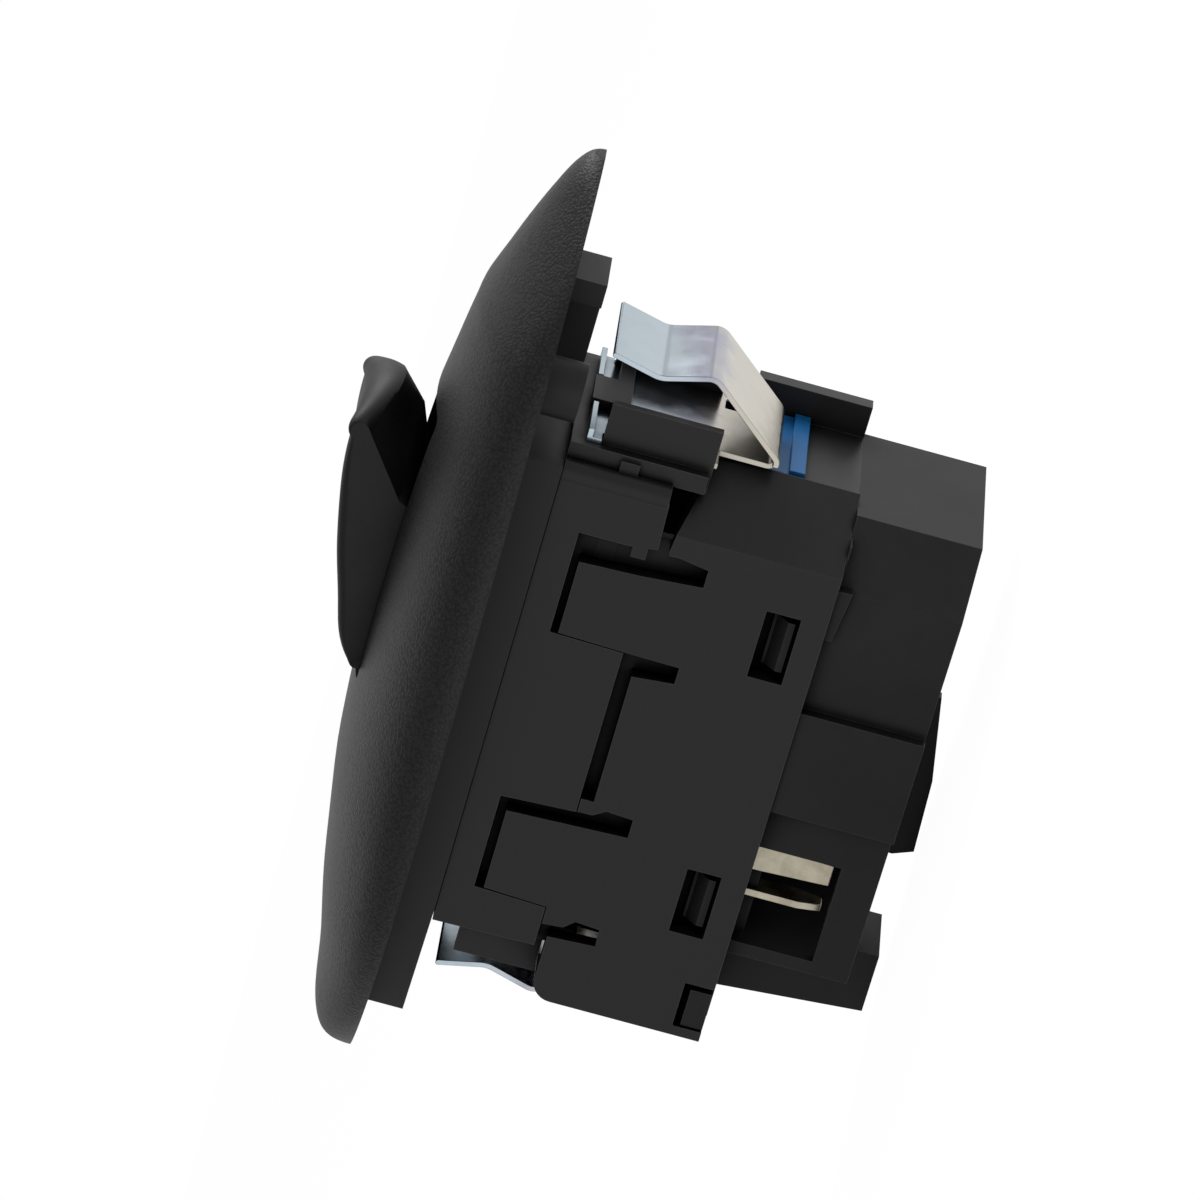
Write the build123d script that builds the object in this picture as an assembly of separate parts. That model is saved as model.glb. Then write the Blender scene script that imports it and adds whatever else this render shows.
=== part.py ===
from build123d import *
from math import cos, pi, sin
import os

# Door-panel window switch. Z points at the user and Z = 0 is the plane of the bezel's rim.
# X runs along the bezel and Y across it. Millimetres.

# bezel
half_length = 54.0
half_width = 26.0
crown_height = 11.05
bezel_wall = 2.4
outline_power = 2.4
full_end_power = 0.65
slim_end_power = 0.84
inner_end_margin = 3.6

# rocker and its opening
rocker_half_width = 8.75
rocker_wall = 2.0
rocker_low_x = -5.9
rocker_high_x = 13.9
rocker_bottom_z = 2.0
lip_bulge = 2.5
lip_drop = 1.05
end_face_bulge = 7.4
side_round = 1.3
opening_side_gap = 0.4
opening_low_x = -7.2
opening_corner = 1.2
opening_high_x = 24.0
collar_wall = 1.2
collar_bottom_z = 5.5

# pivot
pivot_x = 4.0
pivot_z = 4.6
pin_radius = 1.5
pin_fit = 0.05
press_gap = 0.02
ear_radius = 2.4
ear_thickness = 1.75
ear_gap = 0.5

# skirt under the bezel
skirt_step = 0.5
skirt_wall = 2.0
skirt_depth = 4.1
skirt_low_x = -44.0
skirt_taper_x = -28.0
skirt_end_half_width = 7.9
skirt_high_x = 25.0
boss_x = 32.45
boss_radius = 3.15
boss_y = 11.9
boss_depth = 3.9
end_block_x = 41.35
end_block_length = 2.6
end_block_half_width = 3.9
end_block_depth = 3.75
end_rib_half = 0.8
end_rib_low_x = 30.0

# housing walls
body_half_width = 13.8
body_wall = 2.0
seam = 0.12
carrier_top_z = -4.2
carrier_edge_z = -15.5
carrier_low_x = -29.6
carrier_high_x = 27.0
carrier_end_z = -18.9
column_x = 23.85
column_radius = 1.45
column_set = 1.3
recess_depth = 1.6
ring_top_z = 0.8
ring_wall = 1.6
ring_gap = 0.3
floor_top_z = -9.8
floor_thickness = 2.0
guide_boss_radius = 4.2
guide_boss_bottom_z = -13.4
liner_gap = 0.2
liner_wall = 1.2
liner_end_z = -23.5
liner_low_x = -26.5
liner_high_x = 19.2

# wall tabs shared by the carrier and the lower housing
tab_left_z = -8.4
window_left_z = -7.55
tab_a_low_x = 6.5
tab_a_high_x = 14.95
window_a_high_x = 18.15
slot_width_mid = 2.0
tab_m_left_z = -17.0
tab_m_high_x = 3.85
tab_m_low_x = -11.3
window_b_high_x = -13.2
tab_b_high_x = -14.9
tab_b_low_x = -24.35
foot_high_x = -26.7
foot_low_x = -28.0
slot_end_z = -21.5
shell_left_z = -16.35

# lower housing
shell_low_x = -35.5
shell_back_z = -35.0
shell_corner_x = 20.7
shell_corner_far_x = 26.8
shell_corner_far_y = -5.0
shell_end_x = 25.8
shell_end_left_z = -19.9
far_fin_x = 29.4
far_fin_left_z = -22.6
shell_round = 2.2
clip_window_low = (-23.6, -16.0)
clip_window_high = (7.35, 15.1)
clip_window_left_z = -28.5
clip_window_right_z = -32.2
notch_high_x = -29.1
notch_low_x = -34.4
notch_left_z = -31.8
notch_margin = 0.8

# connector body
plug_top_z = -33.2
plug_gap = 0.15
shroud_back_z = -48.5
shroud_high_x = 25.8
shroud_high_near_y = -8.3
shroud_slope_x = 18.4
upper_near_y = -11.6
middle_near_y = -13.1
upper_low_x = 4.5
middle_low_x = -7.4
bay_near_y = -10.6
bay_low_x = -25.9
shroud_far_y = 13.0
shroud_wall = 1.4
upper_socket_low_x = 8.0
bay_window_low_x = -24.4
bay_window_high_x = -12.9
bay_window_right_z = -44.3
guide_high_x = -1.0
guide_low_x = -20.5
guide_end_z = -53.5
wing_low_x = -35.0
wing_taper = 1.5
wing_high_x = -26.6
wing_low_y = -1.0
wing_high_y = 9.0
wing_end_z = -52.0
hook_thickness = 1.0
hook_margin = 1.0
hook_beak = 1.2
hook_top_z = -29.6

# plungers and springs
plunger_arm = 5.5
plunger_radius = 2.0
plunger_fit = 0.05
head_radius = 3.4
head_thickness = 1.2
finger_gap = 0.3
finger_half = 1.1
plunger_bottom_z = -17.0
spring_wire = 0.5
spring_turns = 5
spring_clearance = 0.15

# contacts
bridge_half_length = 7.4
bridge_half_width = 1.5
bridge_thickness = 0.8
bridge_top_z = -15.4
contact_radius = 1.3
contact_height = 0.35
pad_gap = 1.05
row_y = 9.0
blade_thickness = 0.8
blade_width = 3.1
blade_tip_width = 2.4
blade_end_z = -43.6
blade_fit = 0.05
base_thickness = 2.6
base_half_width = 10.35
rim_wall = 0.75
rim_top_z = -22.5
base_low_x = -29.5
base_high_x = 20.0
low_blade_x = -14.7
edge_blade_x = -19.0
high_blade_x = 13.6
run_height = 2.0

# spring clips
sheet = 0.6
clip_centre_x = -1.3
arm_half_width = 6.9
finger_half_span = 10.8
neck_half_width = 5.6
base_shoulder_z = -19.6
finger_inner_y = 3.6
finger_left_z = -5.7
strap_gap = 0.1
strap_thickness = 0.9
strap_right_z = -9.6
strap_notch_z = -8.0
strap_left_z = -5.5
strap_tongue_half = 3.1
guard_y = 10.35
guard_wall = 1.1
guard_reach = 4.6
guard_gap = 0.1
guard_left_z = -7.4
guard_right_z = -19.2
guard_low_right_z = -16.2
clip_slot_half_width = 7.5
clip_slot_z = -26.6
fold_radius = 0.9
arm_crest = (35.75, -17.1)
arm_valley = (34.2, -11.5)
arm_tip = (35.4, -6.4)
fold_point_z = -27.1

# terminal lock
lock_high_x = 26.6
lock_low_y = -3.4
lock_high_y = 11.6
lock_left_z = -21.6
lock_right_z = -29.0
lock_step_z = -27.3
lock_step = 0.5
lock_depth = 2.2
lock_gap = 0.1

opening_half_width = rocker_half_width + opening_side_gap
skirt_half_width = body_half_width + skirt_step
column_y = body_half_width - column_set
base_half_span = guard_y - guard_wall - guard_gap
tab_a_edge = tab_a_low_x - seam
low_mid_x = tab_a_low_x - 0.2

# the slanted corner wall of the lower housing and how far its inner face lies from the outer one along X
corner_run_x = shell_corner_far_x - shell_corner_x
corner_run_y = shell_corner_far_y + body_half_width
corner_shift = body_wall * (corner_run_x ** 2 + corner_run_y ** 2) ** 0.5 / corner_run_y


def block(x0, x1, y0, y1, z0, z1):
    size = (x1 - x0, y1 - y0, z1 - z0)
    centre = ((x0 + x1) / 2, (y0 + y1) / 2, (z0 + z1) / 2)
    return Pos(*centre) * Box(*size)


def plate_xz(points, y0, y1):
    wire = Wire.make_polygon([Vector(x, y0, z) for x, z in points], close=True)
    return extrude(Face(wire), amount=y1 - y0, dir=(0, 1, 0))


def plate_xy(points, z0, z1):
    wire = Wire.make_polygon([Vector(x, y, z0) for x, y in points], close=True)
    return extrude(Face(wire), amount=z1 - z0, dir=(0, 0, 1))


def rod_z(x, y, z0, z1, radius):
    return Pos(x, y, (z0 + z1) / 2) * Cylinder(radius, z1 - z0)


def rod_y(x, z, y0, y1, radius):
    return Pos(x, (y0 + y1) / 2, z) * Rot(90, 0, 0) * Cylinder(radius, y1 - y0)


def both_sides(shape):
    return shape + mirror(shape, about=Plane.XZ)


# Leaf outline of the rim: fuller at +X than at -X.
def leaf_half_width(x, margin):
    share = min(abs(x) / (half_length - margin), 1.0)
    power = full_end_power if x > 0 else slim_end_power
    return (half_width - margin) * (1 - share ** outline_power) ** power


# Height of the crown along the bezel, as (share of the half length, share of the crown height,
# bell factor of the cross-section). A factor of 1 is an ellipse. The crown breaks at a share of 0.663.
crown = [(-0.9972, 0.136, 1.0), (-0.985, 0.26, 1.0), (-0.948, 0.392, 1.0), (-0.883, 0.489, 1.0),
         (-0.752, 0.588, 1.0), (-0.591, 0.746, 1.0), (-0.463, 0.842, 1.0), (-0.306, 0.945, 1.0),
         (-0.15, 0.988, 1.0), (0.0, 1.0, 1.0), (0.19, 0.987, 1.0), (0.383, 0.95, 1.0), (0.52, 0.874, 1.02),
         (0.64, 0.798, 1.1), (0.663, 0.782, 1.13), (0.68, 0.76, 1.2), (0.74, 0.665, 1.45), (0.80, 0.572, 1.75),
         (0.86, 0.468, 2.0), (0.91, 0.372, 2.1), (0.95, 0.285, 1.8), (0.975, 0.21, 1.4), (0.99, 0.15, 1.1),
         (0.9972, 0.1, 1.0)]
crown_step = 0.035


# Value of one column of the crown at a share of the length, on a smooth curve that never overshoots.
def crown_value(share, column):
    runs = [(high[0] - low[0], (high[column] - low[column]) / (high[0] - low[0]))
            for low, high in zip(crown, crown[1:])]
    slopes = [runs[0][1]]
    for (_, before), (_, after) in zip(runs, runs[1:]):
        slopes.append(2 * before * after / (before + after) if before * after > 0 else 0.0)
    slopes.append(runs[-1][1])
    i = max(k for k in range(len(runs)) if share >= crown[k][0] or k == 0)
    t = (share - crown[i][0]) / runs[i][0]
    low, high = crown[i][column], crown[i + 1][column]
    bend = runs[i][0] * (slopes[i] * t * (1 - t) ** 2 - slopes[i + 1] * t ** 2 * (1 - t))
    return low + (high - low) * t * t * (3 - 2 * t) + bend


def crown_stations(step, reach):
    shares = [point[0] for point in crown if abs(point[0]) < reach]
    dense = shares[:1]
    for share in shares[1:]:
        count = max(1, round((share - dense[-1]) / step))
        start = dense[-1]
        dense += [start + (share - start) * (k + 1) / count for k in range(count)]
    return [(share, crown_value(share, 1), crown_value(share, 2)) for share in dense]


def arch(share_x, share_z, bell, margin):
    x = share_x * half_length
    width = leaf_half_width(x, margin)
    height = share_z * crown_height - margin
    steps = 12
    angles = [-pi / 2 + pi * i / steps for i in range(steps + 1)]
    top = [Vector(x, width * sin(a), height * max(cos(a), 0.0) ** bell) for a in angles]
    low = 1.0
    edges = [Edge.make_spline(top)]
    corners = [top[-1], Vector(x, width, -low), Vector(x, -width, -low), top[0]]
    edges += [Edge.make_line(corners[i], corners[i + 1]) for i in range(3)]
    return Wire(edges)


def dome(stations, margin):
    shell = Solid.make_loft([arch(a, b, c, margin) for a, b, c in stations], False)
    below = block(-2 * half_length, 2 * half_length, -2 * half_width, 2 * half_width, -4, 0)
    return shell - below


def skirt_outline(inset):
    side = skirt_half_width - inset
    slope = (skirt_half_width - skirt_end_half_width) / (skirt_taper_x - skirt_low_x)
    cut = inset * (1 + slope ** 2) ** 0.5
    low = skirt_low_x + inset
    end = skirt_half_width - cut - slope * (skirt_taper_x - low)
    turn = skirt_taper_x + (cut - inset) / slope
    high = skirt_high_x
    near = [(high, -side), (turn, -side), (low, -end)]
    return near + [(x, -y) for x, y in reversed(near)]


def make_bezel():
    outer = dome(crown_stations(crown_step, 1), 0)
    inner_reach = (half_length - inner_end_margin) / half_length
    stations = crown_stations(3 * crown_step, inner_reach)
    inner = dome([(a, b, min(c, 1.1)) for a, b, c in stations], bezel_wall)
    shell = outer - inner
    ring = plate_xy(skirt_outline(0), -skirt_depth, crown_height)
    ring = ring - plate_xy(skirt_outline(skirt_wall), -skirt_depth, crown_height)
    ring = ring - block(skirt_high_x - skirt_wall, skirt_high_x + 1, -opening_half_width - 0.3,
                        opening_half_width + 0.3, -skirt_depth, crown_height)
    boss = rod_z(boss_x, -boss_y, -boss_depth, crown_height, boss_radius)
    boss = boss - rod_z(boss_x, -boss_y, -boss_depth, crown_height, boss_radius - 1.4)
    stop = block(end_block_x - end_block_length, end_block_x, -end_block_half_width,
                 end_block_half_width, -end_block_depth, crown_height)
    rib = block(end_rib_low_x, end_block_x, -end_rib_half, end_rib_half, -end_block_depth, crown_height)
    inside = ring + both_sides(boss) + stop + rib
    collar_half = opening_half_width + collar_wall
    collar = block(opening_low_x - collar_wall, opening_high_x + collar_wall, -collar_half,
                   collar_half, collar_bottom_z, crown_height)
    notch_half = ear_radius + 1.4
    for side in (-1, 1):
        gap_y = side * (opening_half_width + collar_wall / 2)
        collar = collar - Pos(pivot_x, gap_y, collar_bottom_z) * Box(2 * notch_half, 2 * collar_wall, 4.4)
    above = outer & (inside + collar)
    below = inside & block(-half_length, half_length, -half_width, half_width, -9, 0)
    opening = block(opening_low_x, opening_high_x, -opening_half_width, opening_half_width, 0.5, 20)
    opening = fillet(opening.edges().filter_by(Axis.Z), opening_corner)
    return shell + above + below - opening


# Section of the rocker at one place across it. Towards the middle the lip swells out and thickens, and
# the top falls by the drop where its side edges are rounded.
def rocker_section(y, drop):
    swell = 1 - (y / rocker_half_width) ** 2
    top = [(-5.3, 11.9 - 0.3 * drop), (-4.0, 12.85 - 0.6 * drop), (0.7, 14.4 - drop), (5.8, 15.8 - drop),
           (10.9, 16.9 - 0.1 * swell - drop), (15.3 + 0.3 * swell, 17.6 - 0.1 * swell - 0.8 * drop),
           (19.4 + 0.5 * lip_bulge * swell, 17.85 - 0.3 * lip_drop * swell - 0.5 * drop)]
    points = [Vector(x, y, z) for x, z in top]
    lip_out = Vector(21.5 + lip_bulge * swell - 0.2 * drop, y, 16.8 - lip_drop * swell - 0.3 * drop)
    lip_low = Vector(20.7 + 1.4 * lip_bulge * swell, y, 16.1 - 2.3 * lip_drop * swell - 0.2 * drop)
    under = Vector(rocker_high_x + end_face_bulge * swell, y, 11.0)
    foot = Vector(rocker_high_x - 1.3, y, 8.0)
    low_high = Vector(rocker_high_x - 1.3, y, rocker_bottom_z)
    low_low = Vector(rocker_low_x + 0.3, y, rocker_bottom_z)
    nose = Vector(rocker_low_x, y, 10.6)
    edges = [Edge.make_spline(points)]
    edges.append(Edge.make_three_point_arc(points[-1], lip_out, lip_low))
    corners = [lip_low, under, foot, low_high, low_low, nose]
    edges += [Edge.make_line(corners[i], corners[i + 1]) for i in range(5)]
    edges.append(Edge.make_three_point_arc(nose, Vector(rocker_low_x + 0.12, y, 11.3), points[0]))
    return Wire(edges)


def make_rocker():
    turns = [pi / 2 * step / 4 for step in range(5)]
    edge = [(rocker_half_width - side_round * (1 - cos(a)), side_round * (1 - sin(a))) for a in turns]
    inside = [(rocker_half_width * share, 0.0) for share in (0.75, 0.6, 0.4, 0.2, 0.0, -0.2, -0.4, -0.6, -0.75)]
    places = edge + inside + [(-y, drop) for y, drop in reversed(edge)]
    body = Solid.make_loft([rocker_section(y, drop) for y, drop in places], False)
    inner = [(rocker_low_x + rocker_wall + 0.2, rocker_bottom_z - 1), (rocker_low_x + rocker_wall + 0.1, 10.4),
             (-1.5, 11.8), (5.5, 13.4), (11.0, 14.3), (14.0, 14.5), (rocker_high_x - 1.9, 11.8),
             (rocker_high_x - 1.3 - rocker_wall, 8.2), (rocker_high_x - 1.3 - rocker_wall, rocker_bottom_z - 1)]
    half = rocker_half_width - rocker_wall
    body = body - plate_xz(inner, -half, half)
    for side in (-1, 1):
        x = pivot_x + side * plunger_arm
        body = body + block(x - finger_half, x + finger_half, -half - 0.2, half + 0.2, 0.0, 12.0)
    # The fingers stop short of the cheeks below the body, so the pin passes between them.
    for side in (-1, 1):
        x = pivot_x + side * plunger_arm
        body = body - both_sides(block(x - 2, x + 2, 3.0, half + 3, -1, rocker_bottom_z))
    return body - rod_y(pivot_x, pivot_z, -rocker_half_width - 1, rocker_half_width + 1, pin_radius + pin_fit)


def make_rocker_pin():
    reach = rocker_half_width + ear_gap + ear_thickness
    pin = rod_y(pivot_x, pivot_z, -reach, reach, pin_radius)
    return chamfer(pin.edges().filter_by(GeomType.CIRCLE), 0.3)


# Wall of the carrier between its top edge and the tabs of the lower housing.
def carrier_wall(y0, y1):
    a_edge = tab_a_edge
    b_edge = tab_b_low_x - seam
    points = [(column_x, carrier_top_z), (column_x, carrier_edge_z - 0.2),
              (window_a_high_x + 0.4, carrier_edge_z - 0.4), (window_a_high_x, -12.9),
              (window_a_high_x, window_left_z), (a_edge, window_left_z), (a_edge - 0.2, carrier_edge_z),
              (window_b_high_x + 0.25, carrier_edge_z), (window_b_high_x - 0.2, window_left_z + 0.1),
              (b_edge, window_left_z + 0.1), (b_edge - 0.3, carrier_edge_z + 0.2),
              (carrier_low_x + 0.2, carrier_edge_z + 0.2), (carrier_low_x, carrier_top_z)]
    wall = plate_xz(points, y0, y1)
    tab = block(window_a_high_x - 1.1, window_a_high_x + 0.3, y0, y1 - 1.2, -14.9, -13.3)
    return wall + tab


def clip_holder(side):
    seat = carrier_high_x
    inner = seat + sheet + strap_gap
    outer = inner + strap_thickness
    span = guard_y - guard_wall / 2
    bar = block(inner, outer, -span, span, strap_right_z, strap_notch_z)
    tongue = block(inner, outer, -strap_tongue_half, strap_tongue_half, strap_notch_z, strap_left_z)
    right_z = guard_right_z if side > 0 else guard_low_right_z
    guard = block(seat - 2.5, seat + guard_reach, guard_y - guard_wall, guard_y, right_z, guard_left_z)
    holder = bar + tongue + both_sides(guard)
    if side > 0:
        return holder
    return mirror(holder, about=Plane.YZ.offset(clip_centre_x))


def make_carrier():
    inner = body_half_width - body_wall
    body = both_sides(carrier_wall(-body_half_width, -inner))
    column = rod_z(column_x, -column_y, carrier_edge_z - 0.1, carrier_top_z, column_radius)
    body = body + both_sides(column)
    for x0, x1 in ((carrier_low_x, carrier_low_x + body_wall), (carrier_high_x - body_wall, carrier_high_x)):
        body = body + block(x0, x1, -inner, inner, carrier_end_z, carrier_top_z)
    high_wall = carrier_high_x - body_wall
    back = recess_depth - inner
    body = body + both_sides(block(column_x - 1, high_wall + 1, back, back + 1.2, carrier_edge_z, carrier_top_z))
    floor = block(carrier_low_x + 0.5, carrier_high_x - 0.5, -inner - 0.5, inner + 0.5,
                  floor_top_z - floor_thickness, floor_top_z)
    window_cut = block(tab_b_low_x - 2 * seam, window_a_high_x, -body_half_width - 1, -inner + seam, -30,
                       window_left_z)
    floor = floor - both_sides(window_cut)
    body = body + floor
    ring_out = skirt_half_width - skirt_wall - ring_gap
    ring_low = skirt_taper_x + ring_gap + ring_wall
    ring = block(ring_low - ring_wall, high_wall - ring_gap, -ring_out, ring_out, carrier_top_z - 1.5, ring_top_z)
    ring = ring - block(ring_low, high_wall - ring_gap - ring_wall, -ring_out + ring_wall,
                        ring_out - ring_wall, carrier_top_z - 2, ring_top_z + 1)
    body = body + ring
    liner_face = inner - liner_gap
    liner = block(liner_low_x, liner_high_x, -liner_face, -liner_face + liner_wall, liner_end_z, carrier_top_z - 1)
    body = body + both_sides(liner)
    ear_in = rocker_half_width + ear_gap
    ear = rod_y(pivot_x, pivot_z, ear_in, ear_in + ear_thickness, ear_radius)
    ear = ear + block(pivot_x - ear_radius, pivot_x + ear_radius, ear_in, ear_in + ear_thickness,
                      floor_top_z - 0.5, pivot_z)
    body = body + both_sides(ear)
    body = body - rod_y(pivot_x, pivot_z, -20, 20, pin_radius + press_gap)
    for side in (-1, 1):
        x = pivot_x + side * plunger_arm
        body = body + rod_z(x, 0, guide_boss_bottom_z, floor_top_z, guide_boss_radius)
        body = body - rod_z(x, 0, guide_boss_bottom_z - 1, floor_top_z + 1, plunger_radius + plunger_fit)
        body = body + clip_holder(side)
    return body


# Wall of the lower housing with the tabs that reach between the carrier's tongues.
def shell_wall(y0, y1):
    points = [(shell_corner_x, shell_back_z), (shell_corner_x, -17.3), (window_a_high_x + 0.35, -17.05),
              (window_a_high_x - 0.4, slot_end_z), (tab_a_high_x + 0.8, slot_end_z),
              (tab_a_high_x + 0.25, -14.9), (tab_a_high_x, tab_left_z), (tab_a_low_x, tab_left_z),
              (tab_a_low_x - 0.2, carrier_edge_z), (low_mid_x - 0.1, slot_end_z),
              (low_mid_x - slot_width_mid, slot_end_z), (tab_m_high_x, tab_m_left_z),
              (tab_m_low_x, tab_m_left_z), (tab_m_low_x, carrier_edge_z - seam),
              (window_b_high_x + 0.3, carrier_edge_z - seam), (window_b_high_x + 0.35, -17.3),
              (window_b_high_x + 1.2, -18.6), (window_b_high_x + 1.0, slot_end_z),
              (tab_b_high_x + 0.55, slot_end_z), (tab_b_high_x, tab_left_z - 0.05),
              (tab_b_low_x, tab_left_z - 0.05), (tab_b_low_x - 0.3, carrier_edge_z - seam + 0.2),
              (foot_high_x, carrier_edge_z - seam + 0.2), (foot_high_x + 0.2, -17.7),
              (foot_high_x + 1.2, -18.8), (foot_high_x + 1.0, slot_end_z), (foot_low_x + 0.3, slot_end_z),
              (foot_low_x, shell_left_z), (shell_low_x, shell_left_z), (shell_low_x, shell_back_z)]
    return plate_xz(points, y0, y1)


def make_lower_housing():
    inner = body_half_width - body_wall
    near = shell_wall(-body_half_width, -inner)
    body = both_sides(near)
    body = body + block(shell_low_x, shell_low_x + body_wall, -inner, inner, shell_back_z, shell_left_z)
    corner = [(shell_corner_x - 0.4, -body_half_width), (shell_corner_x, -body_half_width),
              (shell_corner_far_x, shell_corner_far_y), (shell_end_x - body_wall, shell_corner_far_y),
              (shell_corner_far_x - corner_shift, shell_corner_far_y),
              (shell_corner_x - corner_shift, -body_half_width)]
    chamfer_wall = plate_xy(corner, shell_back_z, shell_end_left_z + 2.8)
    slant = plate_xz([(shell_corner_x - 4, -17.05), (shell_corner_x, -17.3), (shell_corner_far_x, shell_end_left_z),
                      (shell_corner_far_x + 1, shell_end_left_z), (shell_corner_far_x + 1, -10),
                      (shell_corner_x - 4, -10)], -20, 0)
    body = body + (chamfer_wall - slant)
    end_wall = block(shell_end_x - body_wall, shell_end_x, shell_corner_far_y - 0.5, inner + 0.5,
                     shell_back_z, shell_end_left_z)
    body = body + end_wall
    fin = block(shell_corner_x - 0.5, far_fin_x, inner, body_half_width, shell_back_z, far_fin_left_z)
    body = body + fin
    for low, high in (clip_window_low, clip_window_high):
        hole = block(low, high, -body_half_width - 1, -inner + 0.5, clip_window_right_z, clip_window_left_z)
        body = body - both_sides(hole)
    notch = block(notch_low_x, notch_high_x, -body_half_width - 1, -inner + 0.8, shell_back_z - 1, notch_left_z)
    body = body - both_sides(notch)
    pocket = block(lock_high_x - lock_depth, lock_high_x + 1, lock_low_y - lock_gap, inner,
                   lock_right_z - lock_gap, 0)
    body = body - pocket
    clip_slot = block(shell_low_x - 1, shell_low_x + body_wall + 1, -clip_slot_half_width, clip_slot_half_width,
                      clip_slot_z, 0)
    body = body - clip_slot
    round_cut = block(shell_low_x - 1, shell_low_x + shell_round, -20, 20, shell_left_z - shell_round,
                      shell_left_z + 1)
    round_cut = round_cut - rod_y(shell_low_x + shell_round, shell_left_z - shell_round, -21, 21, shell_round)
    return body - round_cut


def hook(low, high):
    inner = body_half_width - body_wall
    x0 = low + hook_margin
    x1 = high - hook_margin
    face = inner - plug_gap
    arm = block(x0, x1, -face, -face + hook_thickness, plug_top_z - 0.5, hook_top_z)
    tip = inner + hook_beak
    points = [(-face, hook_top_z - 0.3), (-tip, clip_window_right_z + 1.1), (-tip, clip_window_right_z + 0.35),
              (-face, clip_window_right_z + 0.35)]
    wire = Wire.make_polygon([Vector(x0, y, z) for y, z in points], close=True)
    return arm + extrude(Face(wire), amount=x1 - x0, dir=(1, 0, 0))


def make_connector_body():
    inner = body_half_width - body_wall
    side = inner - plug_gap
    plug = block(shell_low_x + body_wall + plug_gap, shell_end_x - body_wall - plug_gap, -side, side,
                 shell_back_z - 0.2, plug_top_z)
    inset = corner_shift + plug_gap * 2
    corner_cut = plate_xy([(shell_corner_x - inset, -body_half_width), (shell_corner_far_x - inset, shell_corner_far_y),
                           (far_fin_x, shell_corner_far_y), (far_fin_x, -body_half_width)], shell_back_z, 0)
    plug = plug - corner_cut
    top = shell_back_z
    outline = [(shroud_high_x, shroud_high_near_y), (shroud_slope_x, upper_near_y),
               (upper_low_x, upper_near_y), (upper_low_x, middle_near_y), (middle_low_x, middle_near_y),
               (middle_low_x, bay_near_y), (bay_low_x, bay_near_y), (bay_low_x, shroud_far_y),
               (shroud_high_x, shroud_far_y)]
    shroud = plate_xy(outline, shroud_back_z, top)
    floor_z = top - 1.5
    socket_high = shroud_high_x - shroud_wall
    upper_socket = plate_xy([(upper_socket_low_x, upper_near_y + shroud_wall),
                             (shroud_slope_x - 0.3, upper_near_y + shroud_wall),
                             (socket_high, shroud_high_near_y + 0.9), (socket_high, shroud_far_y - shroud_wall),
                             (upper_socket_low_x, shroud_far_y - shroud_wall)], shroud_back_z - 1, floor_z)
    low_socket = block(bay_low_x + shroud_wall, middle_low_x - 1.2, bay_near_y + shroud_wall,
                       shroud_far_y - shroud_wall, shroud_back_z - 1, floor_z)
    middle_pocket = block(middle_low_x + shroud_wall, upper_low_x - shroud_wall, middle_near_y + shroud_wall,
                          shroud_far_y - shroud_wall, shroud_back_z - 1, floor_z - 4)
    shroud = shroud - upper_socket - low_socket - middle_pocket
    window = block(bay_window_low_x, bay_window_high_x, bay_near_y - 1, bay_near_y + shroud_wall + 0.5,
                   bay_window_right_z, top - 0.2)
    shroud = shroud - window
    guide = plate_xz([(guide_high_x, shroud_back_z + 3), (guide_high_x, guide_end_z + 2.2),
                      (guide_high_x - 9.9, guide_end_z + 0.4), (guide_low_x + 0.9, guide_end_z),
                      (guide_low_x, guide_end_z + 2.2), (guide_low_x, shroud_back_z + 3)],
                     shroud_far_y - shroud_wall, shroud_far_y)
    wing_tip_x = wing_low_x + wing_taper
    wing = plate_xz([(wing_low_x, top), (wing_tip_x, wing_end_z), (wing_high_x, wing_end_z),
                     (wing_high_x, shroud_back_z), (bay_low_x + 0.2, shroud_back_z), (bay_low_x + 0.2, top)],
                    wing_low_y, wing_high_y)
    wing_pocket = block(wing_tip_x + shroud_wall, wing_high_x - shroud_wall / 2, wing_low_y + shroud_wall,
                        wing_high_y - shroud_wall, wing_end_z - 1, top - 3)
    body = plug + shroud + guide + (wing - wing_pocket)
    rib = plate_xz([(shroud_slope_x + 0.6, top), (shroud_slope_x + 0.6, top - 1.6), (shroud_slope_x - 5.2, top - 0.9),
                    (shroud_slope_x - 5.2, top)], upper_near_y - 1.3, upper_near_y + 0.5)
    body = body + rib
    for low, high in (clip_window_low, clip_window_high):
        body = body + both_sides(hook(low, high))
    tongue = block(notch_low_x + plug_gap, notch_high_x - notch_margin, -body_half_width + 0.35, -side + 0.5,
                   shell_back_z, notch_left_z - notch_margin)
    body = body + both_sides(tongue)
    for number in range(6):
        body = body - blade_cut(number, shell_back_z - 3, plug_top_z + 1)
    return body


# Three blades in each row: two with a bus run and a contact pad, and a narrow one set across the row.
def blade_place(number):
    side = -1 if number < 3 else 1
    kind = number % 3
    x = (low_blade_x, high_blade_x, edge_blade_x)[kind]
    return side, kind, x


def blade_cut(number, z0, z1):
    side, kind, x = blade_place(number)
    if kind == 2:
        half_x, half_y = blade_thickness / 2, blade_width / 2
        y = side * (row_y - blade_width / 2 + blade_thickness / 2)
    else:
        half_x, half_y = blade_width / 2, blade_thickness / 2
        y = side * row_y
    grow = blade_fit
    return block(x - half_x - grow, x + half_x + grow, y - half_y - grow, y + half_y + grow, z0, z1)


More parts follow.
